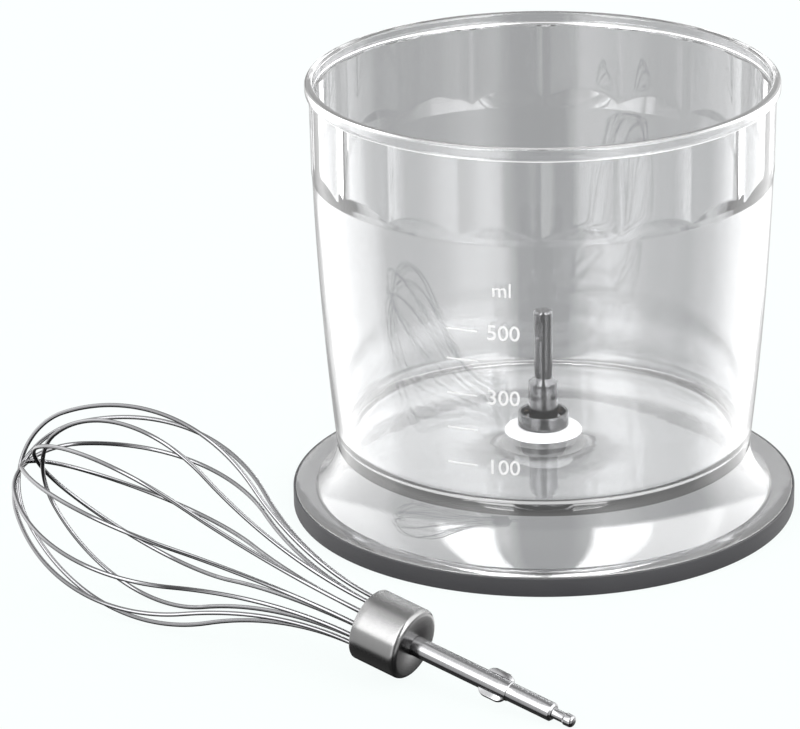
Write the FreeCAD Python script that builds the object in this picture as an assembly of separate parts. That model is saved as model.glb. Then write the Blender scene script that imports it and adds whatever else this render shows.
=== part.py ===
# Chopper bowl and balloon whisk, the two attachments of a hand-held stick blender.
# Millimetres, +Z up. The origin is the bowl's axis at table height, and -Y is the front.
import FreeCAD, Part
import math
import os

from FreeCAD import Matrix, Placement, Rotation, Vector

# ---- bowl: one clear moulding, wall, floor and flared foot
BOWL_HEIGHT = 122.0
WALL = 2.2
RIM_R = 64.0              # outer radius of the rolled rim
RIM_EDGE_R = 1.0
RIM_UNDER_MID = (63.7, 118.8)     # point on the curve under the rim
RIM_UNDER_Z = 119.7       # where that curve reaches the rim's full radius
BAND_TOP_R, BAND_TOP_Z = 62.9, 118.2      # outside of the upper band, where that curve starts
BAND_LOW_R = 62.65
MOUTH_R, MOUTH_LOW_Z = 61.6, 118.3        # plain bore above the flutes
MOUTH_EDGE_R = 0.9
SHOULDER_Z = 94.6         # where the barrel wall steps up to the band
SHOULDER_RISE = 2.6
WALL_TOP_R = 62.4
WALL_MID_Z, WALL_MID_R = 60.0, 60.75
WALL_FOOT_R, WALL_FOOT_Z = 57.2, 18.6
FLOOR_Z = 20.0            # top face of the floor
FLOOR_T = 2.2
FLOOR_FILLET = 4.0
WALL_ROOT_R = 55.25       # inner radius of the wall where the floor's fillet ends
FLUTES = 18               # concave flutes inside the band
FLUTE_CUSP_R = 60.5       # bore radius between two flutes
FLUTE_MID_R = 61.45       # bore radius in the middle of a flute
FLUTE_PHASE = 7.0         # degrees from the front to the middle of a flute
SEAT_LOW_R = 60.0         # the cone that the flutes run out on
SEAT_RISE = 3.5           # height gained per millimetre of radius

FLARE_TOP_Z = 18.2
FLARE_MID = (59.0, 11.2)  # point on the outer curve of the foot
FLARE_END_R = 63.2
BELLY_MID = (57.0, 10.3)  # point on the inner curve of the foot
BELLY_END_R = 61.8
BELLY_TOP_Z = 17.3
BRIM_R = 69.0
BRIM_Z = 5.4              # top of the flat brim
BRIM_T = 1.6
EDGE = 0.3                # small edges are broken by this much

# ---- rubber ring under the brim
RING_R = 69.6
RING_BORE_R = 61.4
RING_TOP_Z = 5.2
GRIP_GROOVES = (63.6, 66.0)
GROOVE_W, GROOVE_D = 1.0, 0.8

# ---- spindle and its bearing in the middle of the floor
PEDESTAL_R, PEDESTAL_TOP_R, PEDESTAL_Z = 10.5, 8.6, 21.6
PEDESTAL_STEP = 0.5       # upright edge below the pedestal's slope
BOSS_R, BOSS_Z = 7.6, 12.4
STEM_R, STEM_Z = 5.0, 14.4
CUP_R, CUP_BORE_R, CUP_RIM_Z = 7.05, 6.2, 25.7
CUP_FLOOR_Z = 22.6
BUSH_R, BUSH_Z = 3.4, 16.8
BUSH_FLANGE_R, BUSH_FLANGE_T = 5.0, 0.9
JOURNAL_R, RUNNING_GAP = 2.0, 0.03
WASHER_R, WASHER_T = 4.6, 0.5
END_PLAY = 0.1
SLEEVE_R, SLEEVE_TOP_Z = 4.03, 34.4
PIN_R, PIN_TOP_Z = 2.62, 55.7
PIN_ROOT_Z = 35.9         # top of the cone between sleeve and pin
JOURNAL_END_Z = 15.0
CLIP_R, CLIP_GROOVE_R, CLIP_T, CLIP_MOUTH = 3.0, 1.5, 0.6, 2.7
CHAMFER = 0.5             # on the end of the spindle pin and of the whisk's drive stretch
SLOT_W, SLOT_DEPTH, SLOT_LOW_Z, SLOT_HIGH_Z, SLOT_AZIMUTH = 2.6, 0.9, 47.2, 53.0, -28.0

# ---- whisk, along its own axis: s = 0 is the free end of the drive shaft
TIP_X, TIP_Y = 2.0, -148.7
HEADING = 145.0           # degrees from +X to the whisk's axis, seen from above
SHAFT_R = 2.4             # the stretch ground to run in the drive socket
ROD_R, ROD_S, SHAFT_END_S = 2.58, 19.2, 58.0      # the rest of the shaft
BALL_R, BALL_ROUND, BALL_S = 1.6, 1.0, 2.4
NECK_R, NECK_S, SHOULDER_S = 1.35, 2.8, 6.0
WING_S, WING_LEN, WING_SPAN, WING_T, WING_TURN = 23.3, 8.2, 7.9, 1.1, 47.0
WING_CORNER_R = 2.5
FERRULE_R, FERRULE_S, FERRULE_END_S = 9.45, 48.1, 62.1
FERRULE_WALL, FERRULE_ROUND, FERRULE_EDGE = 0.8, 1.5, 0.4
PLUG_RECESS = 0.9
WIRE_R = 0.575
WIRE_RING_R = 6.6         # radius of the ring of holes in the plug
WIRE_END_S = 53.0
BALLOON_R, BALLOON_S = 26.4, 135.0
CROWN_R, CROWN_S = 19.0, 176.2
NEST = 1.35               # each loop's crown lies this far inside the one before
LOOPS, FIRST_TURN = 6, 20.0
LOOP_TURNS = [FIRST_TURN + 180 / LOOPS * index for index in range(LOOPS)]


def ring_section(points):
    """Closed face in the XZ half plane through (radius, height) points."""
    corners = [Vector(r, 0, z) for r, z in points]
    return Part.Face(Part.makePolygon(corners + corners[:1]))


def turned(section):
    """Solid of revolution of a section about +Z."""
    return section.revolve(Vector(0, 0, 0), Vector(0, 0, 1), 360)


def arc(start, middle, end):
    """Edge through three (radius, height) points."""
    return Part.Arc(*(Vector(r, 0, z) for r, z in (start, middle, end))).toShape()


def quarter(centre, radius, start, end):
    """Edge round a (radius, height) centre, between two angles in degrees."""
    turns = [math.radians(a) for a in (start, (start + end) / 2, end)]
    return arc(*((centre[0] + radius * math.cos(t), centre[1] + radius * math.sin(t)) for t in turns))


def outline(*items):
    """Closed section from points and arcs, given in order round the outline."""
    edges = []
    first = last = None
    for item in items:
        begin, end = (item, item) if isinstance(item, tuple) else arc_ends(item)
        if last is not None and math.dist(last, begin) > 1e-7:
            edges.append(Part.makeLine(Vector(last[0], 0, last[1]), Vector(begin[0], 0, begin[1])))
        if not isinstance(item, tuple):
            edges.append(item)
        first = first or begin
        last = end
    if math.dist(last, first) > 1e-7:
        edges.append(Part.makeLine(Vector(last[0], 0, last[1]), Vector(first[0], 0, first[1])))
    return Part.Face(Part.Wire(edges))


def arc_ends(edge):
    low, high = (edge.valueAt(p) for p in edge.ParameterRange)
    return (low.x, low.z), (high.x, high.z)


def at_azimuth(shape, degrees):
    """Turn a shape from the front (-Y) towards +X."""
    copy = shape.copy()
    copy.rotate(Vector(0, 0, 0), Vector(0, 0, 1), degrees)
    return copy


# ---- bowl ----

def flute_prism():
    """Bore of the band: an 18-sided prism with sides bulging outwards."""
    step = 2 * math.pi / FLUTES
    phase = math.radians(FLUTE_PHASE - 90)

    def point(radius, angle):
        return Vector(radius * math.cos(angle), radius * math.sin(angle), 0)

    edges = []
    for k in range(FLUTES):
        middle = phase + k * step
        edges.append(Part.Arc(point(FLUTE_CUSP_R, middle - step / 2),
                              point(FLUTE_MID_R, middle),
                              point(FLUTE_CUSP_R, middle + step / 2)).toShape())
    prism = Part.Face(Part.Wire(edges)).extrude(Vector(0, 0, BOWL_HEIGHT))
    return prism


def bowl_shell():
    under = FLOOR_Z - FLOOR_T
    brim_low = BRIM_Z - BRIM_T
    outer = outline(
        (0, FLOOR_Z), (0, under), (WALL_FOOT_R - WALL, under),
        arc((WALL_FOOT_R - WALL, BELLY_TOP_Z), BELLY_MID, (BELLY_END_R, brim_low)),
        (BRIM_R, brim_low), (BRIM_R, BRIM_Z - EDGE), (BRIM_R - EDGE, BRIM_Z),
        arc((FLARE_END_R, BRIM_Z), FLARE_MID, (WALL_FOOT_R, FLARE_TOP_Z)),
        arc((WALL_FOOT_R, WALL_FOOT_Z), (WALL_MID_R, WALL_MID_Z), (WALL_TOP_R, SHOULDER_Z)),
        (BAND_LOW_R, SHOULDER_Z + SHOULDER_RISE),
        arc((BAND_TOP_R, BAND_TOP_Z), RIM_UNDER_MID, (RIM_R, RIM_UNDER_Z)),
        quarter((RIM_R - RIM_EDGE_R, BOWL_HEIGHT - RIM_EDGE_R), RIM_EDGE_R, 0, 90),
        (0, BOWL_HEIGHT))
    body = turned(outer)

    fillet_z = FLOOR_Z + FLOOR_FILLET
    cavity = outline(
        (0, FLOOR_Z),
        quarter((WALL_ROOT_R - FLOOR_FILLET, fillet_z), FLOOR_FILLET, -90, 0),
        arc((WALL_ROOT_R, fillet_z), (WALL_MID_R - WALL, WALL_MID_Z), (SEAT_LOW_R, SHOULDER_Z)),
        (0, SHOULDER_Z))
    body = body.cut(turned(cavity))

    seat_top = SHOULDER_Z + (RIM_R - SEAT_LOW_R) * SEAT_RISE
    funnel = ring_section([(0, SHOULDER_Z - 1), (SEAT_LOW_R, SHOULDER_Z - 1),
                           (SEAT_LOW_R, SHOULDER_Z), (RIM_R, seat_top),
                           (RIM_R, MOUTH_LOW_Z + 1), (0, MOUTH_LOW_Z + 1)])
    body = body.cut(turned(funnel).common(flute_prism()))
    mouth = outline(
        (0, MOUTH_LOW_Z), (MOUTH_R, MOUTH_LOW_Z),
        quarter((MOUTH_R + MOUTH_EDGE_R, BOWL_HEIGHT - MOUTH_EDGE_R), MOUTH_EDGE_R, 180, 90),
        (MOUTH_R + MOUTH_EDGE_R, BOWL_HEIGHT + 1), (0, BOWL_HEIGHT + 1))
    body = body.cut(turned(mouth))

    pedestal = ring_section([(0, under), (PEDESTAL_R, under), (PEDESTAL_R, FLOOR_Z + PEDESTAL_STEP),
                             (PEDESTAL_TOP_R, PEDESTAL_Z), (0, PEDESTAL_Z)])
    boss = ring_section([(0, FLOOR_Z), (BOSS_R, FLOOR_Z), (BOSS_R, BOSS_Z + CHAMFER),
                         (BOSS_R - CHAMFER, BOSS_Z), (0, BOSS_Z)])
    socket = Part.makeCylinder(STEM_R, BOWL_HEIGHT, Vector(0, 0, STEM_Z))
    return body.fuse(turned(pedestal)).fuse(turned(boss)).cut(socket).removeSplitter()


def anti_slip_ring():
    shelf = BRIM_Z - BRIM_T
    section = ring_section([(RING_BORE_R, EDGE), (RING_BORE_R + EDGE, 0), (RING_R - EDGE, 0),
                            (RING_R, EDGE), (RING_R, RING_TOP_Z - EDGE), (RING_R - EDGE, RING_TOP_Z),
                            (BRIM_R, RING_TOP_Z), (BRIM_R, shelf), (RING_BORE_R, shelf)])
    ring = turned(section)
    for radius in GRIP_GROOVES:
        groove = Part.makeCylinder(radius + GROOVE_W, GROOVE_D)
        ring = ring.cut(groove.cut(Part.makeCylinder(radius, GROOVE_D)))
    return ring


# ---- spindle ----

def bearing_cup():
    section = ring_section([(BUSH_R, STEM_Z), (STEM_R, STEM_Z), (STEM_R, PEDESTAL_Z),
                            (CUP_R, PEDESTAL_Z), (CUP_R, CUP_RIM_Z - EDGE),
                            (CUP_R - EDGE, CUP_RIM_Z), (CUP_BORE_R + EDGE, CUP_RIM_Z),
                            (CUP_BORE_R, CUP_RIM_Z - EDGE), (CUP_BORE_R, CUP_FLOOR_Z),
                            (BUSH_R, CUP_FLOOR_Z)])
    return turned(section)


def spindle_bush():
    bore = JOURNAL_R + RUNNING_GAP
    top = CUP_FLOOR_Z + BUSH_FLANGE_T
    section = ring_section([(bore, BUSH_Z), (BUSH_R, BUSH_Z), (BUSH_R, CUP_FLOOR_Z),
                            (BUSH_FLANGE_R, CUP_FLOOR_Z), (BUSH_FLANGE_R, top - EDGE),
                            (BUSH_FLANGE_R - EDGE, top), (bore, top)])
    return turned(section)


def washer_low_z():
    return CUP_FLOOR_Z + BUSH_FLANGE_T


def thrust_washer():
    section = ring_section([(JOURNAL_R + RUNNING_GAP, washer_low_z()), (WASHER_R, washer_low_z()),
                            (WASHER_R, washer_low_z() + WASHER_T),
                            (JOURNAL_R + RUNNING_GAP, washer_low_z() + WASHER_T)])
    return turned(section)


def clip_top_z():
    return BUSH_Z - END_PLAY


def spindle_shaft():
    sleeve_low = washer_low_z() + WASHER_T + END_PLAY
    clip_low = clip_top_z() - CLIP_T
    section = ring_section([
        (0, JOURNAL_END_Z), (JOURNAL_R - EDGE, JOURNAL_END_Z), (JOURNAL_R, JOURNAL_END_Z + EDGE),
        (JOURNAL_R, clip_low), (CLIP_GROOVE_R, clip_low), (CLIP_GROOVE_R, clip_top_z()),
        (JOURNAL_R, clip_top_z()), (JOURNAL_R, sleeve_low), (SLEEVE_R - EDGE, sleeve_low),
        (SLEEVE_R, sleeve_low + EDGE), (SLEEVE_R, SLEEVE_TOP_Z), (PIN_R, PIN_ROOT_Z),
        (PIN_R, PIN_TOP_Z - CHAMFER), (PIN_R - CHAMFER, PIN_TOP_Z), (0, PIN_TOP_Z)])
    shaft = turned(section)
    half = SLOT_W / 2
    deep = Vector(0, -PIN_R - 1, 0)
    length = 1 + SLOT_DEPTH
    slot = Part.makeBox(SLOT_W, length, SLOT_HIGH_Z - SLOT_LOW_Z - SLOT_W,
                        deep + Vector(-half, 0, SLOT_LOW_Z + half))
    for z in (SLOT_LOW_Z + half, SLOT_HIGH_Z - half):
        slot = slot.fuse(Part.makeCylinder(half, length, deep + Vector(0, 0, z), Vector(0, 1, 0)))
    return shaft.cut(at_azimuth(slot, SLOT_AZIMUTH))


def retaining_clip():
    low = clip_top_z() - CLIP_T
    clip = Part.makeCylinder(CLIP_R, CLIP_T, Vector(0, 0, low))
    clip = clip.cut(Part.makeCylinder(CLIP_GROOVE_R, CLIP_T, Vector(0, 0, low)))
    mouth = Part.makeBox(CLIP_MOUTH, CLIP_R + 1, CLIP_T, Vector(-CLIP_MOUTH / 2, -CLIP_R - 1, low))
    return clip.cut(mouth)


# ---- whisk, built along +Z with s as height, then laid on the table ----

def ferrule():
    wall = FERRULE_WALL
    section = outline(
        (ROD_R, FERRULE_S),
        quarter((FERRULE_R - FERRULE_ROUND, FERRULE_S + FERRULE_ROUND), FERRULE_ROUND, -90, 0),
        (FERRULE_R, FERRULE_END_S - FERRULE_EDGE), (FERRULE_R - FERRULE_EDGE, FERRULE_END_S),
        (FERRULE_R - wall, FERRULE_END_S), (FERRULE_R - wall, FERRULE_S + FERRULE_ROUND),
        (FERRULE_R - FERRULE_ROUND, FERRULE_S + wall), (ROD_R, FERRULE_S + wall))
    return turned(section)


def wire_plug():
    bore = FERRULE_R - FERRULE_WALL
    top = FERRULE_END_S - PLUG_RECESS
    section = ring_section([(0, FERRULE_S + FERRULE_WALL),
                            (FERRULE_R - FERRULE_ROUND, FERRULE_S + FERRULE_WALL),
                            (bore, FERRULE_S + FERRULE_ROUND), (bore, top), (0, top)])
    plug = turned(section).cut(Part.makeCylinder(ROD_R, SHAFT_END_S))
    for turn in LOOP_TURNS:
        for side in (0, 180):
            angle = math.radians(turn + side)
            foot = Vector(WIRE_RING_R * math.cos(angle), WIRE_RING_R * math.sin(angle), WIRE_END_S)
            plug = plug.cut(Part.makeCylinder(WIRE_R, top, foot))
    return plug


def whisk_shaft():
    section = outline(
        (0, 0), quarter((BALL_R - BALL_ROUND, BALL_ROUND), BALL_ROUND, -90, 0),
        (BALL_R, BALL_S), (NECK_R, NECK_S), (NECK_R, SHOULDER_S),
        (SHAFT_R - CHAMFER, SHOULDER_S), (SHAFT_R, SHOULDER_S + CHAMFER),
        (SHAFT_R, ROD_S - (ROD_R - SHAFT_R)), (ROD_R, ROD_S), (ROD_R, SHAFT_END_S), (0, SHAFT_END_S))
    shaft = turned(section)
    straight = WING_LEN - 2 * WING_CORNER_R
    wing = Part.makeBox(WING_SPAN, WING_T, straight,
                        Vector(-WING_SPAN / 2, -WING_T / 2, WING_S - straight / 2))
    for side in (-1, 1):
        centre = Vector(0, -WING_T / 2, WING_S + side * straight / 2)
        for reach in (-1, 1):
            x = reach * (WING_SPAN / 2 - WING_CORNER_R)
            wing = wing.fuse(Part.makeCylinder(WING_CORNER_R, WING_T, centre + Vector(x, 0, 0),
                                               Vector(0, 1, 0)))
    wing.rotate(Vector(0, 0, 0), Vector(0, 0, 1), WING_TURN)
    return shaft.fuse(wing).removeSplitter()


def loop_section(crown_s):
    """Half of one wire loop in its own plane: three tangent arcs from plug to crown.

    A crown arc is centred on the axis, a side arc has its widest point at BALLOON_S,
    and a concave arc leaves the plug parallel to the axis. Points are (s, radius)."""
    reach = crown_s - CROWN_R - BALLOON_S
    side_r = (reach ** 2 + BALLOON_R ** 2 - CROWN_R ** 2) / (2 * (BALLOON_R - CROWN_R))
    side_c = (BALLOON_S, BALLOON_R - side_r)
    join = math.atan2(-side_c[1], reach)

    def misfit(slope):
        s = side_c[0] - side_r * math.sin(slope)
        r = side_c[1] + side_r * math.cos(slope)
        return math.atan2(r - WIRE_RING_R, s - FERRULE_END_S) - slope / 2

    low, high = math.radians(12), math.radians(45)
    for _ in range(60):
        slope = (low + high) / 2
        if misfit(slope) > 0:
            low = slope
        else:
            high = slope
    meet = (side_c[0] - side_r * math.sin(slope), side_c[1] + side_r * math.cos(slope))
    leg_r = math.hypot(meet[0] - FERRULE_END_S, meet[1] - WIRE_RING_R) / (2 * math.sin(slope / 2))
    leg_c = (FERRULE_END_S, WIRE_RING_R + leg_r)

    def on(centre, radius, angle):
        return (centre[0] + radius * math.cos(angle), centre[1] + radius * math.sin(angle))

    leg = [on(leg_c, leg_r, -math.pi / 2 + slope * f) for f in (0, 0.5, 1)]
    top = math.pi / 2 + slope
    side = [on(side_c, side_r, top + (join - top) * f) for f in (0, 0.5, 1)]
    crown_from = on((crown_s - CROWN_R, 0), CROWN_R, join)
    return leg, side, crown_from


def wire_loop(index):
    crown_s = CROWN_S - NEST * index
    leg, side, crown_from = loop_section(crown_s)
    angle = math.radians(LOOP_TURNS[index])

    def place(s, r):
        return Vector(r * math.cos(angle), r * math.sin(angle), s)

    edges = [Part.makeLine(place(WIRE_END_S, WIRE_RING_R), place(*leg[0]))]
    edges += [Part.Arc(*(place(s, r) for s, r in run)).toShape() for run in (leg, side)]
    edges.append(Part.Arc(place(*crown_from), place(crown_s, 0),
                          place(crown_from[0], -crown_from[1])).toShape())
    edges += [Part.Arc(*(place(s, -r) for s, r in run[::-1])).toShape() for run in (side, leg)]
    edges.append(Part.makeLine(place(leg[0][0], -leg[0][1]), place(WIRE_END_S, -WIRE_RING_R)))
    path = Part.Wire(edges)
    start = place(WIRE_END_S, WIRE_RING_R)
    circle = Part.Wire(Part.makeCircle(WIRE_R, start, Vector(0, 0, 1)))
    tube = path.makePipeShell([circle], True, False)
    print("wire loop", index + 1, "length", round(path.Length, 1),
          "volume over section times length", round(tube.Volume / path.Length / math.pi / WIRE_R ** 2, 4))
    return tube


def whisk_placement():
    """The whisk lies on the ball of its shaft and on the lowest wire of the balloon."""
    lowest = min(abs((turn + 90) % 180 - 90) for turn in LOOP_TURNS)
    belly = BALLOON_R * math.cos(math.radians(lowest)) + WIRE_R
    slope = math.asin((belly - BALL_R) / (BALLOON_S - BALL_S))
    heading = math.radians(HEADING)
    along = Vector(math.cos(heading) * math.cos(slope), math.sin(heading) * math.cos(slope),
                   math.sin(slope))
    upward = (Vector(0, 0, 1) - along * along.z).normalize()
    across = along.cross(upward)
    tip = Vector(TIP_X, TIP_Y, BALL_R / math.cos(slope) - BALL_S * math.tan(slope))
    print("whisk slope", round(math.degrees(slope), 2), "axis", [round(v, 5) for v in along])
    turn = Matrix(upward.x, across.x, along.x, tip.x,
                  upward.y, across.y, along.y, tip.y,
                  upward.z, across.z, along.z, tip.z,
                  0, 0, 0, 1)
    return Placement(turn)


def laid(shape, placement):
    copy = shape.copy()
    copy.Placement = placement.multiply(copy.Placement)
    return copy


# ---- all nodes ----

def nodes():
    lying = whisk_placement()
    whisk = {"whisk_ferrule": ferrule(), "wire_plug": wire_plug(), "whisk_shaft": whisk_shaft()}
    for index in range(LOOPS):
        whisk[f"wire_loop_{index + 1}"] = wire_loop(index)
    shapes = {
        "bowl_shell": bowl_shell(),
        "anti_slip_ring": anti_slip_ring(),
        "bearing_cup": bearing_cup(),
        "spindle_bush": spindle_bush(),
        "thrust_washer": thrust_washer(),
        "spindle_shaft": spindle_shaft(),
        "retaining_clip": retaining_clip(),
    }
    resting = {name: laid(shape, lying) for name, shape in whisk.items()}
    lift = -min(shape.optimalBoundingBox(False).ZMin for shape in resting.values())
    for shape in resting.values():
        shape.translate(Vector(0, 0, lift))
    tip = lying.Base + Vector(0, 0, lift)
    print("whisk tip", [round(v, 3) for v in tip])
    shapes.update(resting)
    return shapes


os.makedirs("parts", exist_ok=True)
for name, shape in nodes().items():
    box = shape.optimalBoundingBox(False)
    print(name, "valid", shape.isValid(), "solids", len(shape.Solids), "volume", round(shape.Volume, 1),
          "z", round(box.ZMin, 2), round(box.ZMax, 2))
    shape.exportStep(f"parts/{name}.step")
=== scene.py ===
# Looks of the chopper bowl and the balloon whisk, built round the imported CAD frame.
# Lengths are named in millimetres, as in the part's source, and turned to metres by MM.
import bpy
import math
from mathutils import Matrix, Vector


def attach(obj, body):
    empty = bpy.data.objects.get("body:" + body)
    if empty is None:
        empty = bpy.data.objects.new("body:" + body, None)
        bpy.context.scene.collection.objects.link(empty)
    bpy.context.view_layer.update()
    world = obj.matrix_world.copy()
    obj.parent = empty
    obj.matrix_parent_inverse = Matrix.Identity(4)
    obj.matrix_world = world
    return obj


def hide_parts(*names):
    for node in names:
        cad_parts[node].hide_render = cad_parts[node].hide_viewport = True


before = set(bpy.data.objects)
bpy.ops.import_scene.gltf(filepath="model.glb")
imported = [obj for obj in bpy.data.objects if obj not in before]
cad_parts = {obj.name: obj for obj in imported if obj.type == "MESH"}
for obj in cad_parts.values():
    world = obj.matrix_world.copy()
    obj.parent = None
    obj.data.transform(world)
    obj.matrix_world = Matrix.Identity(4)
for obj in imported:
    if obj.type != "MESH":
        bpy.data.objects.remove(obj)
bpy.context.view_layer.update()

MM = 0.001
TAU = 2 * math.pi
SCENE = bpy.context.scene

# ---- sizes shared with the CAD, in millimetres
BOWL_HEIGHT, WALL, RIM_R, RIM_EDGE_R = 122.0, 2.2, 64.0, 1.0
RIM_UNDER_MID, RIM_UNDER_Z = (63.7, 118.8), 119.7
BAND_TOP_R, BAND_TOP_Z, BAND_LOW_R = 62.9, 118.2, 62.65
MOUTH_R, MOUTH_LOW_Z, MOUTH_EDGE_R = 61.6, 118.3, 0.9
SHOULDER_Z, SHOULDER_RISE = 94.6, 2.6
WALL_TOP_R, WALL_MID_Z, WALL_MID_R, WALL_FOOT_R, WALL_FOOT_Z = 62.4, 60.0, 60.75, 57.2, 18.6
FLOOR_Z, FLOOR_T, FLOOR_FILLET, WALL_ROOT_R = 20.0, 2.2, 4.0, 55.25
FLUTES, FLUTE_CUSP_R, FLUTE_MID_R, FLUTE_PHASE = 18, 60.5, 61.45, 7.0
SEAT_LOW_R, SEAT_RISE = 60.0, 3.5
FLARE_TOP_Z, FLARE_MID, FLARE_END_R = 18.2, (59.0, 11.2), 63.2
BELLY_TOP_Z, BELLY_MID, BELLY_END_R = 17.3, (57.0, 10.3), 61.8
BRIM_R, BRIM_Z, BRIM_T = 69.0, 5.4, 1.6
RING_R, RING_BORE_R, RING_TOP_Z = 69.6, 61.4, 5.2
GRIP_GROOVES, GROOVE_W, GROOVE_D = (63.6, 66.0), 1.0, 0.8
PEDESTAL_R, PEDESTAL_TOP_R, PEDESTAL_Z, PEDESTAL_STEP = 10.5, 8.6, 21.6, 0.5
BOSS_R, BOSS_Z, STEM_R, STEM_Z = 7.6, 12.4, 5.0, 14.4
CUP_R, CUP_BORE_R, CUP_RIM_Z, CUP_FLOOR_Z = 7.05, 6.2, 25.7, 22.6
BUSH_R, BUSH_Z, BUSH_FLANGE_R, BUSH_FLANGE_T = 3.4, 16.8, 5.0, 0.9
WASHER_R, WASHER_T, END_PLAY, RUNNING_GAP = 4.6, 0.5, 0.1, 0.03
JOURNAL_R, JOURNAL_END_Z = 2.0, 15.0
CLIP_R, CLIP_GROOVE_R, CLIP_T, CLIP_MOUTH = 3.0, 1.5, 0.6, 2.7
SLEEVE_R, SLEEVE_TOP_Z, PIN_R, PIN_TOP_Z, PIN_ROOT_Z = 4.03, 34.4, 2.62, 55.7, 35.9
SLOT_W, SLOT_DEPTH, SLOT_LOW_Z, SLOT_HIGH_Z, SLOT_AZIMUTH = 2.6, 0.9, 47.2, 53.0, -28.0
WHISK_TIP, HEADING = (2.0, -148.7, 1.401), 145.0
SHAFT_R, ROD_R, ROD_S, SHAFT_END_S = 2.4, 2.58, 19.2, 58.0
BALL_R, BALL_ROUND, BALL_S, NECK_R, NECK_S, SHOULDER_S = 1.6, 1.0, 2.4, 1.35, 2.8, 6.0
WING_S, WING_LEN, WING_SPAN, WING_T, WING_TURN, WING_CORNER_R = 23.3, 8.2, 7.9, 1.1, 47.0, 2.5
FERRULE_R, FERRULE_S, FERRULE_END_S, FERRULE_WALL, FERRULE_ROUND = 9.45, 48.1, 62.1, 0.8, 1.5
PLUG_RECESS, WIRE_R, WIRE_RING_R, WIRE_END_S = 0.9, 0.575, 6.6, 53.0
BALLOON_R, BALLOON_S, CROWN_R, CROWN_S, NEST = 26.4, 135.0, 19.0, 176.2, 1.35
LOOPS, FIRST_TURN = 6, 20.0
LOOP_TURNS = [FIRST_TURN + 180 / LOOPS * index for index in range(LOOPS)]


# ---- camera: a long lens, a little above the rim, aimed along +Y

CAMERA_AT = (-39.43, -1096.22, 456.90)
CAMERA_DOWN, CAMERA_ROLL, LENS, SENSOR = 20.83, -0.909, 191.6, 36.0


def make_camera():
    data = bpy.data.cameras.new("camera")
    data.lens, data.sensor_width, data.sensor_fit = LENS, SENSOR, "HORIZONTAL"
    data.clip_end = 50
    camera = bpy.data.objects.new("camera", data)
    SCENE.collection.objects.link(camera)
    tilt = Matrix.Rotation(math.radians(90 - CAMERA_DOWN), 4, "X")
    roll = Matrix.Rotation(math.radians(CAMERA_ROLL), 4, "Z")
    camera.matrix_world = Matrix.Translation(Vector(CAMERA_AT) * MM) @ tilt @ roll
    SCENE.camera = camera


# ---- mesh tools

def new_piece(name, verts, faces, uvs, body, slot, material, nodes=(), place=None, crease=32):
    if place:
        verts = [place @ Vector(v) for v in verts]
    mesh = bpy.data.meshes.new(name)
    mesh.from_pydata([Vector(v) * MM for v in verts], [], faces)
    mesh.polygons.foreach_set("use_smooth", [True] * len(mesh.polygons))
    mesh.set_sharp_from_angle(angle=math.radians(crease))
    layer = mesh.uv_layers.new(name="UVMap")
    layer.data.foreach_set("uv", [c for corners in uvs for uv in corners for c in uv])
    mesh.materials.append(material)
    mesh.validate()
    piece = bpy.data.objects.new(name, mesh)
    SCENE.collection.objects.link(piece)
    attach(piece, body)
    if nodes:
        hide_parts(*nodes)
    return piece


def circle_run(centre, radius, start, end, count):
    """Points round a (radius, height) centre between two angles, both ends included."""
    return [(centre[0] + radius * math.cos(start + (end - start) * k / count),
             centre[1] + radius * math.sin(start + (end - start) * k / count)) for k in range(count + 1)]


def arc_run(start, middle, end, count):
    """Points on the arc through three (radius, height) points, both ends included."""
    (ax, ay), (bx, by), (cx, cy) = start, middle, end
    d = 2 * (ax * (by - cy) + bx * (cy - ay) + cx * (ay - by))
    sa, sb, sc = ax * ax + ay * ay, bx * bx + by * by, cx * cx + cy * cy
    centre = ((sa * (by - cy) + sb * (cy - ay) + sc * (ay - by)) / d,
              (sa * (cx - bx) + sb * (ax - cx) + sc * (bx - ax)) / d)
    a0, a1, a2 = (math.atan2(p[1] - centre[1], p[0] - centre[0]) for p in (start, middle, end))
    turn = (a2 - a0) % TAU
    if (a1 - a0) % TAU > turn:
        turn -= TAU
    return circle_run(centre, math.dist(centre, start), a0, a0 + turn, count)


def rounded(points, radius, steps=4, closed=False):
    """A run of (radius, height) points with each corner rounded off."""
    ring = [Vector(p) for p in points]
    if closed:
        ring = [ring[-1]] + ring + [ring[0]]
    out = [] if closed else [tuple(ring[0])]
    for before, here, after in zip(ring, ring[1:], ring[2:]):
        u, v = before - here, after - here
        inside = u.angle(v)
        if math.pi - inside < math.radians(8):
            out.append(tuple(here))
            continue
        reach = min(radius / math.tan(inside / 2), u.length * 0.45, v.length * 0.45)
        fillet = reach * math.tan(inside / 2)
        centre = here + (u.normalized() + v.normalized()).normalized() * fillet / math.sin(inside / 2)
        first, last = here + u.normalized() * reach - centre, here + v.normalized() * reach - centre
        start = math.atan2(first.y, first.x)
        sweep = (math.atan2(last.y, last.x) - start + math.pi) % TAU - math.pi
        out += circle_run(centre, fillet, start, start + sweep, steps)
    return out if closed else out + [tuple(ring[-1])]


def split_long(points, longest):
    """The same run with its long straight pieces divided."""
    out = [points[0]]
    for a, b in zip(points, points[1:]):
        parts = max(1, math.ceil(math.dist(a, b) / longest))
        out += [tuple(Vector(a).lerp(Vector(b), k / parts)) for k in range(1, parts + 1)]
    return out


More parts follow.
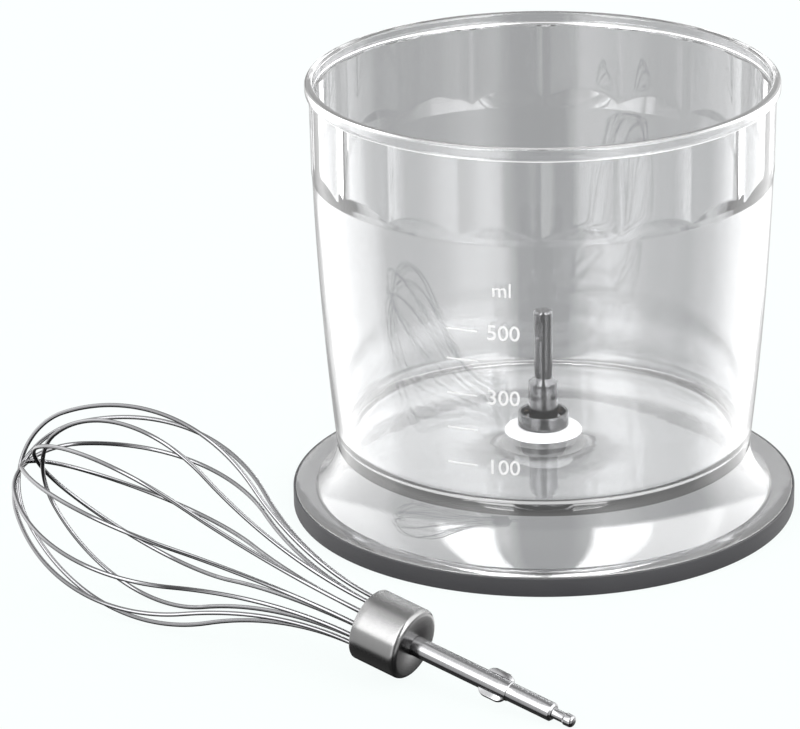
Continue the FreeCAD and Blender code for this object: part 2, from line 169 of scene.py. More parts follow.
def lathe(profile_at, segments, closed=False):
    """Verts, faces and UVs of a surface of revolution about Z.

    profile_at(angle) gives the run of (radius, height) points there, always the same number.
    A point on the axis becomes one vertex. closed joins the run's end to its start.
    U goes once round, and V is the length along the run in centimetres."""
    runs = [profile_at(TAU * j / segments) for j in range(segments)]
    first = runs[0]
    rows = len(first)
    verts, index = [], []
    for i in range(rows):
        if abs(first[i][0]) < 1e-9:
            index.append([len(verts)] * segments)
            verts.append((0, 0, first[i][1]))
            continue
        index.append(list(range(len(verts), len(verts) + segments)))
        for j, run in enumerate(runs):
            angle = TAU * j / segments
            verts.append((run[i][0] * math.cos(angle), run[i][0] * math.sin(angle), run[i][1]))
    along = [0.0]
    for a, b in zip(first, first[1:] + first[:1]):
        along.append(along[-1] + math.dist(a, b) / 10)
    faces, uvs = [], []
    for i in range(rows if closed else rows - 1):
        low, high = index[i], index[(i + 1) % rows]
        for j in range(segments):
            k = (j + 1) % segments
            corners = [(low[j], j, along[i]), (low[k], j + 1, along[i]),
                       (high[k], j + 1, along[i + 1]), (high[j], j, along[i + 1])]
            kept = [c for n, c in enumerate(corners) if c[0] != corners[n - 1][0]]
            faces.append([c[0] for c in kept])
            uvs.append([(c[1] / segments, c[2]) for c in kept])
    return verts, faces, uvs


def round_piece(name, points, segments, *what, closed=False, place=None):
    """A turned piece from one run of (radius, height) points."""
    return new_piece(name, *lathe(lambda angle: points, segments, closed), *what, place=place)


# ---- materials

def shader(name, **values):
    """A Principled material, with values set on the shader's own sockets."""
    material = bpy.data.materials.new(name)
    material.use_nodes = True
    node = material.node_tree.nodes["Principled BSDF"]
    for key, value in values.items():
        node.inputs[key.replace("_", " ")].default_value = value
    return material, material.node_tree, node


def add_node(tree, kind, inputs=None, **settings):
    node = tree.nodes.new(kind)
    for key, value in settings.items():
        setattr(node, key, value)
    for key, value in (inputs or {}).items():
        if isinstance(value, bpy.types.NodeSocket):
            tree.links.new(value, node.inputs[key])
        else:
            node.inputs[key].default_value = value
    return node


def noise(tree, source, scale, detail=3.0):
    where = add_node(tree, "ShaderNodeTexCoord")
    stretched = add_node(tree, "ShaderNodeMapping", {"Vector": where.outputs[source], "Scale": scale})
    return add_node(tree, "ShaderNodeTexNoise", {"Vector": stretched.outputs[0], "Scale": 1.0,
                                                 "Detail": detail}).outputs[0]


def bump(tree, node, height, strength, distance_mm):
    made = add_node(tree, "ShaderNodeBump", {"Height": height, "Strength": strength,
                                             "Distance": distance_mm * MM})
    tree.links.new(made.outputs[0], node.inputs["Normal"])


def spread(tree, node, socket, value, low, high):
    made = add_node(tree, "ShaderNodeMapRange", {"Value": value, "To Min": low, "To Max": high})
    tree.links.new(made.outputs[0], node.inputs[socket])


def tint(tree, node, value, low, high):
    made = add_node(tree, "ShaderNodeMixRGB", {"Fac": value, "Color1": (*low, 1), "Color2": (*high, 1)})
    tree.links.new(made.outputs[0], node.inputs["Base Color"])


def clear_plastic():
    """Clear moulding: slow ripples in the wall, a faint cloud of wear, and a faint painted glow,
    a small even white emission over the whole plastic."""
    # the white emission set here is a painted glow, even over all the plastic
    material, tree, node = shader("clear_plastic", Base_Color=(0.95, 0.955, 0.96, 1), IOR=1.56,
                                  Transmission_Weight=1.0, Emission_Color=(1, 1, 1, 1),
                                  Emission_Strength=0.02)
    bump(tree, node, noise(tree, "Object", (70, 70, 26), 2.0), 0.12, 0.6)
    spread(tree, node, "Roughness", noise(tree, "Object", (160, 160, 160)), 0.0, 0.05)
    path = add_node(tree, "ShaderNodeLightPath")
    clear = add_node(tree, "ShaderNodeBsdfTransparent", {"Color": (0.93, 0.935, 0.94, 1)})
    mixed = add_node(tree, "ShaderNodeMixShader", {0: path.outputs["Is Shadow Ray"], 1: node.outputs[0],
                                                   2: clear.outputs[0]})
    tree.links.new(mixed.outputs[0], tree.nodes["Material Output"].inputs["Surface"])
    return material


def rubber():
    material, tree, node = shader("grey_rubber", Specular_IOR_Level=0.35)
    bump(tree, node, noise(tree, "Object", (2600, 2600, 2600), 4.0), 0.4, 0.05)
    cloud = noise(tree, "Object", (70, 70, 70))
    spread(tree, node, "Roughness", cloud, 0.5, 0.75)
    tint(tree, node, cloud, (0.018, 0.018, 0.020), (0.026, 0.026, 0.028))
    return material


def moulded(name, colour, gloss, glow=0.0):
    # glow above zero makes the surface emit its own colour, painted light
    material, tree, node = shader(name, Emission_Color=(*colour, 1), Emission_Strength=glow)
    bump(tree, node, noise(tree, "Object", (1800, 1800, 1800), 4.0), 0.25, 0.03)
    cloud = noise(tree, "Object", (300, 300, 300))
    spread(tree, node, "Roughness", cloud, gloss - 0.08, gloss + 0.08)
    tint(tree, node, cloud, [c * 0.88 for c in colour], colour)
    return material


def metal(name, colour, rough, lines, depth, anisotropy=0.0):
    """Metal with fine lines. lines is how closely they lie (round, along) on the piece's UVs."""
    material, tree, node = shader(name, Metallic=1.0, Anisotropic=anisotropy)
    streak = noise(tree, "UV", (*lines, 1), 5.0)
    bump(tree, node, streak, depth, 0.02)
    spread(tree, node, "Roughness", streak, rough[0], rough[1])
    tint(tree, node, streak, [c * 0.82 for c in colour], colour)
    return material


CLEAR = clear_plastic()
# pale opaque grey for the pedestal and boss: a painted highlight in place of the clear plastic's highlights
PEDESTAL_PAINTED_HIGHLIGHT = moulded("pedestal_painted_highlight", (0.60, 0.60, 0.60), 0.4)
RUBBER = rubber()
TURNED = metal("turned_steel", (0.12, 0.12, 0.123), (0.04, 0.09), (2, 70), 0.12)
ROD = metal("rod_steel", (0.24, 0.24, 0.245), (0.12, 0.22), (3, 30), 0.2)
BRUSHED = metal("brushed_steel", (0.19, 0.19, 0.19), (0.18, 0.28), (4, 320), 0.5, 0.3)
WIRE = metal("whisk_wire", (0.17, 0.17, 0.175), (0.05, 0.12), (30, 1.5), 0.06)
SPRING = metal("spring_steel", (0.40, 0.40, 0.42), (0.25, 0.35), (20, 20), 0.3)
BRONZE = metal("bearing_bronze", (0.55, 0.40, 0.25), (0.30, 0.45), (60, 60), 0.6)
THRUST = moulded("thrust_plastic", (0.20, 0.20, 0.20), 0.45)
PLUG = moulded("plug_plastic", (0.10, 0.10, 0.105), 0.5)
# white print ink, also given a small emission of its own: a painted glow
INK_AND_PAINTED_GLOW = moulded("white_ink_painted_glow", (0.50, 0.50, 0.50), 0.45, 0.1)


# ---- bowl

def flute_radius(angle):
    """Bore radius of the fluted band at an angle from +X."""
    half = math.pi / FLUTES
    off = (angle - math.radians(FLUTE_PHASE - 90) + half) % (2 * half) - half
    chord, foot = FLUTE_CUSP_R * math.sin(half), FLUTE_CUSP_R * math.cos(half)
    sag = FLUTE_MID_R - foot
    arc_r = (chord ** 2 + sag ** 2) / (2 * sag)
    centre = FLUTE_MID_R - arc_r
    return centre * math.cos(off) + math.sqrt(arc_r ** 2 - (centre * math.sin(off)) ** 2)


def bowl_profile(angle):
    """Run round the moulding's section: under the floor, up the outside, over the rim and down the inside."""
    under, brim_low = FLOOR_Z - FLOOR_T, BRIM_Z - BRIM_T
    bore = flute_radius(angle)
    seat_z = SHOULDER_Z + (bore - SEAT_LOW_R) * SEAT_RISE
    socket_r, socket_z = STEM_R - 0.08, STEM_Z + 0.08

    run = rounded([(0, BOSS_Z), (BOSS_R, BOSS_Z), (BOSS_R, under), (WALL_FOOT_R - WALL, under)], 0.5)[:-1]
    run += arc_run((WALL_FOOT_R - WALL, BELLY_TOP_Z), BELLY_MID, (BELLY_END_R, brim_low), 16)
    run += rounded([(BELLY_END_R, brim_low), (BRIM_R, brim_low), (BRIM_R, BRIM_Z), (FLARE_END_R + 1, BRIM_Z)],
                   0.35)[1:]
    run += arc_run((FLARE_END_R, BRIM_Z), FLARE_MID, (WALL_FOOT_R, FLARE_TOP_Z), 20)
    run += arc_run((WALL_FOOT_R, WALL_FOOT_Z), (WALL_MID_R, WALL_MID_Z), (WALL_TOP_R, SHOULDER_Z), 32)
    run += [(WALL_TOP_R + 0.03, SHOULDER_Z + 0.5), (BAND_LOW_R - 0.03, SHOULDER_Z + SHOULDER_RISE - 0.5),
            (BAND_LOW_R, SHOULDER_Z + SHOULDER_RISE)]
    run += arc_run((BAND_TOP_R, BAND_TOP_Z), RIM_UNDER_MID, (RIM_R, RIM_UNDER_Z), 8)
    run += circle_run((RIM_R - RIM_EDGE_R, BOWL_HEIGHT - RIM_EDGE_R), RIM_EDGE_R, 0, math.pi / 2, 8)
    run += circle_run((MOUTH_R + MOUTH_EDGE_R, BOWL_HEIGHT - MOUTH_EDGE_R), MOUTH_EDGE_R, math.pi / 2, math.pi, 8)
    run += [(MOUTH_R, MOUTH_LOW_Z + 0.25), (MOUTH_R - 0.05, MOUTH_LOW_Z + 0.05), (bore, MOUTH_LOW_Z - 0.15)]
    run += [(bore, MOUTH_LOW_Z - 0.5 + (seat_z + 0.9 - MOUTH_LOW_Z) * k / 8) for k in range(9)]
    run += [(bore - 0.03, seat_z + 0.15), (bore - 0.12, seat_z - 0.2)]
    run += [(SEAT_LOW_R + 0.1, SHOULDER_Z + 0.3), (SEAT_LOW_R + 0.02, SHOULDER_Z)]
    run += arc_run((SEAT_LOW_R, SHOULDER_Z - 0.3), (WALL_MID_R - WALL, WALL_MID_Z),
                   (WALL_ROOT_R, FLOOR_Z + FLOOR_FILLET), 32)
    run += circle_run((WALL_ROOT_R - FLOOR_FILLET, FLOOR_Z + FLOOR_FILLET), FLOOR_FILLET, 0, -math.pi / 2, 10)[1:]
    run += split_long(rounded([(PEDESTAL_R + 8, FLOOR_Z), (PEDESTAL_R, FLOOR_Z),
                               (PEDESTAL_R, FLOOR_Z + PEDESTAL_STEP), (PEDESTAL_TOP_R, PEDESTAL_Z),
                               (socket_r, PEDESTAL_Z)], 0.4), 8.0)
    return run + [(socket_r, socket_z), (0, socket_z)]


def make_bowl():
    """The clear moulding. The pedestal and the boss under the spindle's cup are given a pale opaque material, a
    painted highlight.
    """
    bowl = new_piece("clear_bowl", *lathe(bowl_profile, FLUTES * 22), "bowl", "clear_plastic", CLEAR,
                     ("bowl_shell",))
    # pedestal and boss faces take the pale painted-highlight material
    bowl.data.materials.append(PEDESTAL_PAINTED_HIGHLIGHT)
    for face in bowl.data.polygons:
        radius, height = face.center.xy.length / MM, face.center.z / MM
        pedestal = STEM_R < radius < PEDESTAL_R + 0.3 and height > FLOOR_Z
        boss = radius < BOSS_R + 0.01 and height < FLOOR_Z - FLOOR_T
        if pedestal or boss:
            face.material_index = 1


def make_ring():
    shelf = BRIM_Z - BRIM_T - 0.03
    seam = BRIM_R + 0.03
    points = [(seam, RING_TOP_Z), (seam, shelf), (RING_BORE_R, shelf), (RING_BORE_R, 0)]
    for radius in GRIP_GROOVES:
        points += [(radius, 0), (radius, GROOVE_D), (radius + GROOVE_W, GROOVE_D), (radius + GROOVE_W, 0)]
    points += [(RING_R, 0), (RING_R, RING_TOP_Z)]
    run = rounded(points, 0.28, closed=True)
    round_piece("rubber_ring", run, 256, "bowl", "grey_rubber", RUBBER, ("anti_slip_ring",), closed=True)


# ---- volume marks: white ink on the outside of the wall

MARK_HEIGHTS = {100: 32.1, 200: 42.4, 300: 52.4, 400: 62.4, 500: 70.9}
MARK_LINE, MARK_TEXT, MARK_HIGH, UNIT_Z = (-26.5, -18.5), -16.2, 4.2, 81.0
INK_T = 0.06


def wall_radius(z):
    """Outer radius of the barrel wall at a height."""
    rise = arc_run((WALL_FOOT_R, WALL_FOOT_Z), (WALL_MID_R, WALL_MID_Z), (WALL_TOP_R, SHOULDER_Z), 32)
    for (r0, z0), (r1, z1) in zip(rise, rise[1:]):
        if z <= z1:
            return r0 + (r1 - r0) * (z - z0) / (z1 - z0)
    return WALL_TOP_R


def printed(name, points, faces):
    """Wrap a flat mesh onto the wall. Its points are (across from the front, height, how proud)."""
    verts = []
    for x, z, proud in points:
        radius = wall_radius(z) + INK_T * proud
        angle = x / wall_radius(z) - math.pi / 2
        verts.append((radius * math.cos(angle), radius * math.sin(angle), z))
    uvs = [[(points[i][0] / 10, points[i][1] / 10) for i in face] for face in faces]
    new_piece(name, verts, faces, uvs, "bowl", "clear_plastic", INK_AND_PAINTED_GLOW)


def bar(x0, x1, z, width, steps=8):
    """Flat closed bar as points and faces for printed()."""
    points, faces = [], []
    for k in range(steps + 1):
        x = x0 + (x1 - x0) * k / steps
        points += [(x, z - width / 2, 0.3), (x, z + width / 2, 0.3), (x, z + width / 2, 1), (x, z - width / 2, 1)]
    for k in range(steps):
        a, b = 4 * k, 4 * k + 4
        faces += [(a + n, b + n, b + (n + 1) % 4, a + (n + 1) % 4) for n in range(4)]
    faces += [(0, 1, 2, 3), tuple(4 * steps + n for n in (3, 2, 1, 0))]
    return points, faces


def lettering(text, x, z, height):
    """Flat closed text as points and faces for printed(), with its baseline at z."""
    curve = bpy.data.curves.new(text, "FONT")
    curve.body, curve.size, curve.offset, curve.extrude = text, 1.0, 0.004, 0.5
    curve.resolution_u = 6
    holder = bpy.data.objects.new(text, curve)
    SCENE.collection.objects.link(holder)
    mesh = holder.evaluated_get(bpy.context.evaluated_depsgraph_get()).to_mesh()
    corners = [v.co.copy() for v in mesh.vertices]
    faces = [tuple(p.vertices) for p in mesh.polygons]
    bpy.data.objects.remove(holder)
    bpy.data.curves.remove(curve)
    scale = height / max(p.y for p in corners)
    return [(x + p.x * scale, z + p.y * scale, 1 if p.z > 0 else 0.3) for p in corners], faces


def make_marks():
    radius = wall_radius(WALL_MID_Z)
    left, right, text_x = (math.radians(a) * radius for a in (*MARK_LINE, MARK_TEXT))
    for volume, z in MARK_HEIGHTS.items():
        printed(f"mark_{volume}", *bar(left, right, z, 0.45))
        if volume % 200:
            printed(f"number_{volume}", *lettering(str(volume), text_x, z - MARK_HIGH / 2, MARK_HIGH))
    printed("unit_ml", *lettering("ml", text_x + 1.5, UNIT_Z, MARK_HIGH * 0.9))


# ---- spindle and its bearing

def make_bearing():
    seat = PEDESTAL_Z + 0.02
    cup = rounded([(BUSH_R, STEM_Z), (STEM_R, STEM_Z), (STEM_R, seat), (CUP_R, seat), (CUP_R, CUP_RIM_Z),
                   (CUP_BORE_R, CUP_RIM_Z), (CUP_BORE_R, CUP_FLOOR_Z), (BUSH_R, CUP_FLOOR_Z)], 0.28, closed=True)
    round_piece("spindle_cup", cup, 160, "bowl", "polished_steel", TURNED, ("bearing_cup",), closed=True)
    bore, top = JOURNAL_R + RUNNING_GAP, CUP_FLOOR_Z + BUSH_FLANGE_T
    bush = rounded([(bore, BUSH_Z), (BUSH_R - 0.02, BUSH_Z), (BUSH_R - 0.02, CUP_FLOOR_Z + 0.02),
                    (BUSH_FLANGE_R, CUP_FLOOR_Z + 0.02), (BUSH_FLANGE_R, top), (bore, top)], 0.2, closed=True)
    round_piece("bearing_bush", bush, 96, "bowl", "bearing_bronze", BRONZE, ("spindle_bush",), closed=True)
    washer = rounded([(bore, top + 0.01), (WASHER_R, top + 0.01), (WASHER_R, top + WASHER_T),
                      (bore, top + WASHER_T)], 0.1, closed=True)
    round_piece("slip_washer", washer, 96, "bowl", "thrust_plastic", THRUST, ("thrust_washer",), closed=True)


def pocket_radius(angle, r, z):
    """Radius of the pin's surface where its locking pocket is pressed in."""
    off = angle - math.radians(SLOT_AZIMUTH - 90)
    if math.cos(off) < 0.2:
        return r
    half = SLOT_W / 2
    nearest = min(max(z, SLOT_LOW_Z + half), SLOT_HIGH_Z - half)
    inward = min(max((half - math.hypot(r * math.sin(off), z - nearest)) / 0.2, 0), 1)
    flat = min((PIN_R - SLOT_DEPTH) / math.cos(off), r)
    return r + (flat - r) * inward * inward * (3 - 2 * inward)


def make_spindle():
    sleeve_low = CUP_FLOOR_Z + BUSH_FLANGE_T + WASHER_T + END_PLAY
    clip_top = BUSH_Z - END_PLAY
    clip_low = clip_top - CLIP_T
    run = rounded([(0, JOURNAL_END_Z), (JOURNAL_R, JOURNAL_END_Z), (JOURNAL_R, clip_low),
                   (CLIP_GROOVE_R, clip_low), (CLIP_GROOVE_R, clip_top), (JOURNAL_R, clip_top),
                   (JOURNAL_R, sleeve_low), (SLEEVE_R, sleeve_low), (SLEEVE_R, SLEEVE_TOP_Z),
                   (PIN_R, PIN_ROOT_Z), (PIN_R, SLOT_LOW_Z - 0.3)], 0.16)
    run += [(PIN_R, SLOT_LOW_Z - 0.3 + 0.1 * k) for k in range(1, round((SLOT_HIGH_Z - SLOT_LOW_Z) * 10) + 7)]
    run += rounded([(PIN_R, PIN_TOP_Z - 1), (PIN_R, PIN_TOP_Z - 0.5), (PIN_R - 0.5, PIN_TOP_Z), (0, PIN_TOP_Z)],
                   0.1)

    def profile(angle):
        return [(pocket_radius(angle, r, z), z) for r, z in run]

    new_piece("blade_spindle", *lathe(profile, 240), "spindle", "polished_steel", TURNED, ("spindle_shaft",))
    flat_piece("snap_clip", clip_outline(), clip_low, clip_top, 0.08, "spindle", "spring_steel", SPRING,
               ("retaining_clip",))


def clip_outline():
    """Outline of the E-clip, a ring open towards -Y."""
    half = CLIP_MOUTH / 2
    wide = math.asin(half / CLIP_R)
    narrow = math.asin(half / CLIP_GROOVE_R)
    outer = circle_run((0, 0), CLIP_R, wide - math.pi / 2, 3 * math.pi / 2 - wide, 60)
    inner = circle_run((0, 0), CLIP_GROOVE_R, 3 * math.pi / 2 - narrow, narrow - math.pi / 2, 48)
    return outer + inner


def flat_piece(name, outline, low, high, edge, *what, place=None):
    """A plate with this (x, y) outline from one height to another, its edges broken by a small slope."""
    count = len(outline)
    rings = [(edge, low), (0, low + edge), (0, high - edge), (edge, high)]
    verts = []
    for inset, z in rings:
        for k, here in enumerate(outline):
            way = Vector(outline[(k + 1) % count]) - Vector(outline[k - 1])
            inward = Vector((-way.y, way.x)).normalized() * inset
            verts.append((here[0] + inward.x, here[1] + inward.y, z))
    faces = [tuple(range(count))[::-1], tuple(range(3 * count, 4 * count))]
    for level in range(3):
        for k in range(count):
            a, b = level * count + k, level * count + (k + 1) % count
            faces.append((a, b, b + count, a + count))
    uvs = [[(verts[i][0] / 10, (verts[i][1] + verts[i][2]) / 10) for i in face] for face in faces]
    return new_piece(name, verts, faces, uvs, *what, place=place, crease=50)


# ---- whisk

def whisk_place():
    """Matrix that takes the whisk from its own axis, with s as height, to where it lies."""
    lowest = min(abs((turn + 90) % 180 - 90) for turn in LOOP_TURNS)
    belly = BALLOON_R * math.cos(math.radians(lowest)) + WIRE_R
    slope = math.asin((belly - BALL_R) / (BALLOON_S - BALL_S))
    heading = math.radians(HEADING)
    along = Vector((math.cos(heading) * math.cos(slope), math.sin(heading) * math.cos(slope), math.sin(slope)))
    upward = (Vector((0, 0, 1)) - along * along.z).normalized()
    turn = Matrix((upward, along.cross(upward), along)).transposed().to_4x4()
    return Matrix.Translation(WHISK_TIP) @ turn


def make_handle(place):
    wall, end = FERRULE_WALL, FERRULE_END_S
    corner = (FERRULE_R - FERRULE_ROUND, FERRULE_S + FERRULE_ROUND)
    bore = ROD_R + 0.03
    cup = rounded([(bore, FERRULE_S + wall), (bore, FERRULE_S), (corner[0], FERRULE_S)], 0.15)[:-1]
    cup += circle_run(corner, FERRULE_ROUND, -math.pi / 2, 0, 10)
    cup += split_long(rounded([(FERRULE_R, corner[1] + 0.1), (FERRULE_R, end), (FERRULE_R - wall, end),
                               (FERRULE_R - wall, corner[1])], 0.35), 2.0)
    cup += [(FERRULE_R - FERRULE_ROUND, FERRULE_S + wall)]
    round_piece("brushed_ferrule", cup, 192, "whisk", "brushed_steel", BRUSHED, ("whisk_ferrule",), closed=True,
                place=place)
    top = end - PLUG_RECESS
    plug_r = FERRULE_R - wall - 0.02
    plug = [(0, FERRULE_S + wall + 0.05), (FERRULE_R - FERRULE_ROUND - 0.1, FERRULE_S + wall + 0.05),
            (plug_r, corner[1] + 0.1)]
    plug += rounded([(plug_r, top - 1), (plug_r, top), (0, top)], 0.25)
    round_piece("ferrule_plug", plug, 96, "whisk", "plug_plastic", PLUG, ("wire_plug",), place=place)

    shaft = [(0, 0)] + circle_run((BALL_R - BALL_ROUND, BALL_ROUND), BALL_ROUND, -math.pi / 2, 0, 8)
    shaft += rounded([(BALL_R, BALL_ROUND + 0.2), (BALL_R, BALL_S), (NECK_R, NECK_S), (NECK_R, SHOULDER_S),
                      (SHAFT_R - 0.5, SHOULDER_S), (SHAFT_R, SHOULDER_S + 0.5),
                      (SHAFT_R, ROD_S - 0.18), (ROD_R, ROD_S), (ROD_R, SHAFT_END_S)], 0.12)
    round_piece("drive_shaft", split_long(shaft, 3.0) + [(0, SHAFT_END_S)], 96, "whisk", "polished_steel", ROD,
                ("whisk_shaft",), place=place)


def wing_outline():
    """Outline of the two drive wings as one plate, (across, along) from the plate's middle."""
    x, y = WING_SPAN / 2 - WING_CORNER_R, WING_LEN / 2 - WING_CORNER_R
    run = []
    for cx, cy, start in ((x, -y, -90), (x, y, 0), (-x, y, 90), (-x, -y, 180)):
        run += circle_run((cx, cy), WING_CORNER_R, math.radians(start), math.radians(start + 90), 12)
    return run


def make_wings(place):
    stand = Matrix.Translation((0, 0, WING_S)) @ Matrix.Rotation(math.radians(WING_TURN), 4, "Z") \
        @ Matrix.Rotation(math.pi / 2, 4, "X")
    flat_piece("drive_wings", wing_outline(), -WING_T / 2, WING_T / 2, 0.18, "whisk", "polished_steel", ROD,
               place=place @ stand)


def loop_path(crown_s):
    """Points (s, radius) along one wire loop: three tangent arcs each side, from plug over the crown to plug."""
    reach = crown_s - CROWN_R - BALLOON_S
    side_r = (reach ** 2 + BALLOON_R ** 2 - CROWN_R ** 2) / (2 * (BALLOON_R - CROWN_R))
    side_c = (BALLOON_S, BALLOON_R - side_r)
    join = math.atan2(-side_c[1], reach)
    low, high = math.radians(12), math.radians(45)
    for _ in range(60):
        slope = (low + high) / 2
        meet = (side_c[0] - side_r * math.sin(slope), side_c[1] + side_r * math.cos(slope))
        if math.atan2(meet[1] - WIRE_RING_R, meet[0] - FERRULE_END_S) > slope / 2:
            low = slope
        else:
            high = slope
    leg_r = math.hypot(meet[0] - FERRULE_END_S, meet[1] - WIRE_RING_R) / (2 * math.sin(slope / 2))
    half = split_long([(WIRE_END_S, WIRE_RING_R), (FERRULE_END_S, WIRE_RING_R)], 2.0)
    half += circle_run((FERRULE_END_S, WIRE_RING_R + leg_r), leg_r, -math.pi / 2, slope - math.pi / 2, 24)[1:]
    half += circle_run(side_c, side_r, math.pi / 2 + slope, join, 40)[1:]
    half += circle_run((crown_s - CROWN_R, 0), CROWN_R, join, 0, 24)[1:]
    return half + [(s, -r) for s, r in half[-2::-1]]


def make_loop(index, place):
    sides = 14
    path = loop_path(CROWN_S - NEST * index)
    angle = math.radians(LOOP_TURNS[index])
    outward = Vector((math.cos(angle), math.sin(angle), 0))
    across = Vector((-math.sin(angle), math.cos(angle), 0))
    up = Vector((0, 0, 1))
    verts, lengths, along = [], [], 0.0
    for k, (s, r) in enumerate(path):
        before, after = path[max(k - 1, 0)], path[min(k + 1, len(path) - 1)]
        way = Vector(after) - Vector(before)
        normal = (outward * way.x - up * way.y).normalized()
        along += math.dist(path[k], before) / 10
        lengths.append(along)
        for j in range(sides):
            turn = TAU * j / sides
            verts.append(up * s + outward * r + (normal * math.cos(turn) + across * math.sin(turn)) * WIRE_R)
    faces, uvs = [], []
    for k in range(len(path) - 1):
        for j in range(sides):
            n = (j + 1) % sides
            faces.append((k * sides + j, k * sides + n, (k + 1) * sides + n, (k + 1) * sides + j))
            uvs.append([(j / sides, lengths[k]), ((j + 1) / sides, lengths[k]),
                        ((j + 1) / sides, lengths[k + 1]), (j / sides, lengths[k + 1])])
    for ring in (range(sides - 1, -1, -1), range(len(verts) - sides, len(verts))):
        faces.append(tuple(ring))
        uvs.append([(0.0, 0.0)] * sides)
    new_piece(f"whisk_wire_{index + 1}", verts, faces, uvs, "whisk", "whisk_wire", WIRE,
              (f"wire_loop_{index + 1}",), place=place)


def make_whisk():
    place = whisk_place()
    make_handle(place)
    make_wings(place)
    for index in range(LOOPS):
        make_loop(index, place)


# ---- stage and light

# the floor as the camera sees it, and a darker grey painted as shade for every other ray, chiefly those through
# the clear plastic
FLOOR_SEEN, FLOOR_PAINTED_SHADE_THROUGH_PLASTIC = (0.905, 0.945, 0.937), (0.26, 0.265, 0.27)


def make_floor():
    """Pale floor. To rays other than the camera's, chiefly those through the clear plastic, it shows a darker
    grey, a painted shade, and reflections see the studio behind it.
    """
    size = 6.0
    mesh = bpy.data.meshes.new("floor")
    mesh.from_pydata([(-size, -size, 0), (size, -size, 0), (size, size, 0), (-size, size, 0)], [], [(0, 1, 2, 3)])
    material, tree, node = shader("pale_floor", Base_Color=(0.02, 0.02, 0.02, 1), Roughness=1.0,
                                  Specular_IOR_Level=0.0, Emission_Strength=1.0)
    path = add_node(tree, "ShaderNodeLightPath")
    # camera rays get the pale floor, all other rays the painted shade
    shown = add_node(tree, "ShaderNodeMixRGB", {"Fac": path.outputs["Is Camera Ray"],
                                                "Color1": (*FLOOR_PAINTED_SHADE_THROUGH_PLASTIC, 1), "Color2": (*FLOOR_SEEN, 1)})
    tree.links.new(shown.outputs[0], node.inputs["Emission Color"])
    mirrored = add_node(tree, "ShaderNodeMath", {0: path.outputs["Glossy Depth"], 1: 0.5},
                        operation="GREATER_THAN")
    gone = add_node(tree, "ShaderNodeBsdfTransparent")
    mixed = add_node(tree, "ShaderNodeMixShader", {0: mirrored.outputs[0], 1: node.outputs[0], 2: gone.outputs[0]})
    tree.links.new(mixed.outputs[0], tree.nodes["Material Output"].inputs["Surface"])
    mesh.materials.append(material)
    floor = bpy.data.objects.new("floor", mesh)
    floor.location.z = -0.2 * MM
    SCENE.collection.objects.link(floor)


# brightness of the studio round the object, by azimuth in degrees from the front towards +X
ROUND_LIGHT = ((-180, 0.18), (-160, 0.25), (-145, 0.85), (-97, 0.85), (-88, 0.55), (-67, 0.5), (-55, 0.65),
               (-43, 0.95), (-22, 1.0), (-14, 0.12), (12, 0.12), (20, 0.4), (31, 0.8), (42, 0.65), (53, 0.4),
               (80, 0.2), (92, 0.27), (109, 0.75), (130, 0.85), (150, 0.85), (165, 0.25), (180, 0.18))
# and by the sine of the elevation
HIGH_LIGHT = ((-1.0, 0.04), (-0.58, 0.06), (-0.48, 1.0), (0.0, 1.0), (0.45, 1.0), (0.9, 0.4), (1.0, 0.3))
STUDIO_POWER = 2.6
# the soft boxes overhead, in the same way
BOX_ROUND = ((-180, 0.1), (-150, 0.1), (-110, 0.3), (-80, 0.2), (-62, 0.2), (-57, 1.0), (-31, 1.0), (-27, 0.04),
             (23, 0.04), (27, 1.0), (56, 1.0), (60, 0.6), (102, 0.6), (110, 0.3), (150, 0.1), (180, 0.1))
BOX_HIGH = ((-1.0, 0.0), (0.12, 0.0), (0.2, 1.0), (0.96, 1.0), (1.0, 0.2))
BOX_POWER = 7.0
# the table as reflections inside the clear plastic see it, by the sine of the elevation
TABLE_HIGH = ((-1.0, 1.0), (-0.62, 1.0), (-0.5, 0.0), (1.0, 0.0))
TABLE_POWER = 0.55


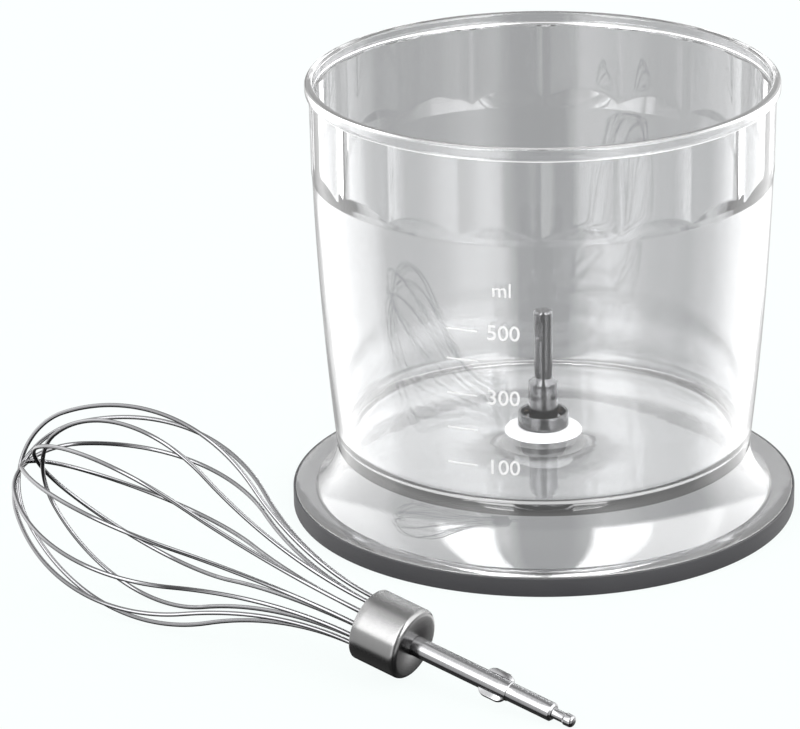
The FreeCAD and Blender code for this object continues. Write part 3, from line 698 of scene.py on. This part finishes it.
def ramp(tree, value, stops, low, high):
    """Grey levels over value, given as (value, level) stops."""
    node = add_node(tree, "ShaderNodeValToRGB")
    scaled = add_node(tree, "ShaderNodeMapRange", {"Value": value, "From Min": low, "From Max": high})
    tree.links.new(scaled.outputs[0], node.inputs[0])
    elements = node.color_ramp.elements
    while len(elements) < len(stops):
        elements.new(0.5)
    for element, (at, level) in zip(elements, stops):
        element.position = (at - low) / (high - low)
        element.color = (level, level, level, 1)
    return node.outputs[0]


def make_light():
    world = bpy.data.worlds.new("studio")
    SCENE.world = world
    world.use_nodes = True
    tree = world.node_tree
    where = add_node(tree, "ShaderNodeTexCoord")
    axis = add_node(tree, "ShaderNodeSeparateXYZ", {"Vector": where.outputs["Generated"]})
    back = add_node(tree, "ShaderNodeMath", {0: axis.outputs[1], 1: -1.0}, operation="MULTIPLY")
    azimuth = add_node(tree, "ShaderNodeMath", {0: axis.outputs[0], 1: back.outputs[0]}, operation="ARCTAN2")
    parts = []
    for around, upward, power in ((ROUND_LIGHT, HIGH_LIGHT, STUDIO_POWER), (BOX_ROUND, BOX_HIGH, BOX_POWER)):
        about = ramp(tree, azimuth.outputs[0], [(math.radians(a), v) for a, v in around], -math.pi, math.pi)
        height = ramp(tree, axis.outputs[2], upward, -1.0, 1.0)
        glow = add_node(tree, "ShaderNodeMath", {0: about, 1: height}, operation="MULTIPLY")
        parts.append(add_node(tree, "ShaderNodeMath", {0: glow.outputs[0], 1: power}, operation="MULTIPLY"))
    path = add_node(tree, "ShaderNodeLightPath")
    inside = add_node(tree, "ShaderNodeMath", {0: path.outputs["Transmission Depth"], 1: 0.5},
                      operation="GREATER_THAN")
    below = add_node(tree, "ShaderNodeMath", {0: ramp(tree, axis.outputs[2], TABLE_HIGH, -1.0, 1.0),
                                              1: inside.outputs[0]}, operation="MULTIPLY")
    parts.append(add_node(tree, "ShaderNodeMath", {0: below.outputs[0], 1: TABLE_POWER}, operation="MULTIPLY"))
    light = parts[0]
    for part in parts[1:]:
        light = add_node(tree, "ShaderNodeMath", {0: light.outputs[0], 1: part.outputs[0]}, operation="ADD")
    tree.links.new(light.outputs[0], tree.nodes["Background"].inputs[0])


make_camera()
make_floor()
make_light()
make_bowl()
make_ring()
make_marks()
make_bearing()
make_spindle()
make_whisk()

SCENE.view_settings.view_transform = "Standard"
SCENE.cycles.max_bounces = 48
SCENE.cycles.transmission_bounces = 48
SCENE.cycles.transparent_max_bounces = 48
